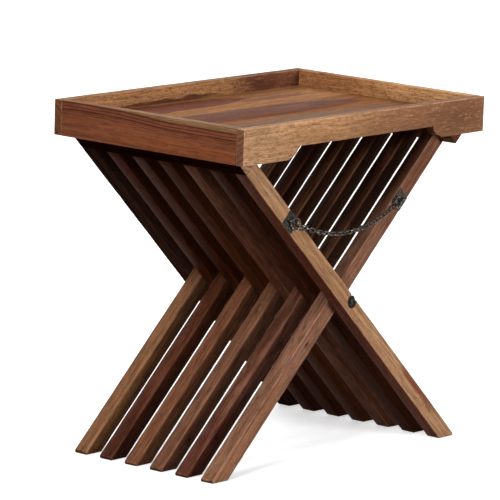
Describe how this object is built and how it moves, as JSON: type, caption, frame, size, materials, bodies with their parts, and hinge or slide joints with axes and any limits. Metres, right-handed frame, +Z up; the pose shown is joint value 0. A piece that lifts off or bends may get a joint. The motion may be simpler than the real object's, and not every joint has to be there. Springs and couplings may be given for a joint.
{
  "type": "folding side table",
  "caption": "Side table with a loose rimmed tray that has hand cut-outs, on crossed sets of slats that fold on a shared rod and are tied by a slack chain.",
  "frame": {"origin": "on the floor below the tray's centre", "axes": "+X along the tray's long side, towards the top of the set of slats that has the fewer slats; +Y along the tray's short side, away from the face with the chain; +Z up"},
  "size_m": [0.6, 0.4, 0.57],
  "materials": {
    "light_wood": "worn, oiled",
    "brown_wood": "worn, oiled",
    "red_wood": "worn, oiled",
    "dark_iron": "blackened"
  },
  "bodies": {
    "frame_a": {"slat_a_1": "light_wood", "slat_a_2": "brown_wood", "slat_a_3": "brown_wood", "slat_a_4": "brown_wood", "slat_a_5": "brown_wood", "slat_a_6": "brown_wood", "slat_a_7": "brown_wood", "top_rail_a": "brown_wood", "rail_dowels_a": "brown_wood", "pivot_rod": "dark_iron", "pivot_nuts": "dark_iron", "pivot_washers": "dark_iron", "slat_spacers": "dark_iron", "chain_plate_a": "dark_iron", "plate_screws_a": "dark_iron", "chain_staple_a": "dark_iron"},
    "frame_b": {"slat_b_1": "red_wood", "slat_b_2": "brown_wood", "slat_b_3": "brown_wood", "slat_b_4": "brown_wood", "slat_b_5": "brown_wood", "slat_b_6": "brown_wood", "top_rail_b": "brown_wood", "rail_dowels_b": "brown_wood", "chain_plate_b": "dark_iron", "plate_screws_b": "dark_iron", "chain_staple_b": "dark_iron"},
    "tray": {"tray_front_rail": "light_wood", "tray_back_rail": "light_wood", "tray_left_rail": "red_wood", "tray_right_rail": "light_wood", "floor_plank_front": "light_wood", "floor_plank_middle": "brown_wood", "floor_plank_back": "brown_wood", "tray_dowels": "brown_wood"},
    "chain_a": {"chain_ring_a": "dark_iron", "chain_links_a": "dark_iron"},
    "chain_b": {"chain_ring_b": "dark_iron", "chain_links_b": "dark_iron"}
  },
  "joints": [
    {"name": "fold", "type": "hinge", "parent": "frame_a", "child": "frame_b", "pos_m": [0.009, 0, 0.26], "axis": [0, -1, 0], "range_deg": [0, 84], "deforming": ["chain_links_a", "chain_links_b"]},
    {"name": "tray_lift", "type": "slide", "parent": "frame_a", "child": "tray", "axis": [0, 0, 1], "range_m": [0, 0.45]},
    {"name": "chain_a_swing", "type": "hinge", "parent": "frame_a", "child": "chain_a", "pos_m": [-0.15291, -0.1783, 0.40684], "axis": [0.2267, -0.9091, 0.3495], "range_deg": [-41, 0]},
    {"name": "chain_b_swing", "type": "hinge", "parent": "frame_b", "child": "chain_b", "pos_m": [0.15291, -0.1513, 0.40684], "axis": [-0.3465, -0.798, 0.4931], "range_deg": [0, 29]}
  ],
  "couplings": [
    {"joint": "tray_lift", "follows": "fold", "m_per_rad": 0.3},
    {"joint": "chain_a_swing", "follows": "fold", "ratio": -0.4776},
    {"joint": "chain_b_swing", "follows": "fold", "ratio": 0.3421}
  ]
}
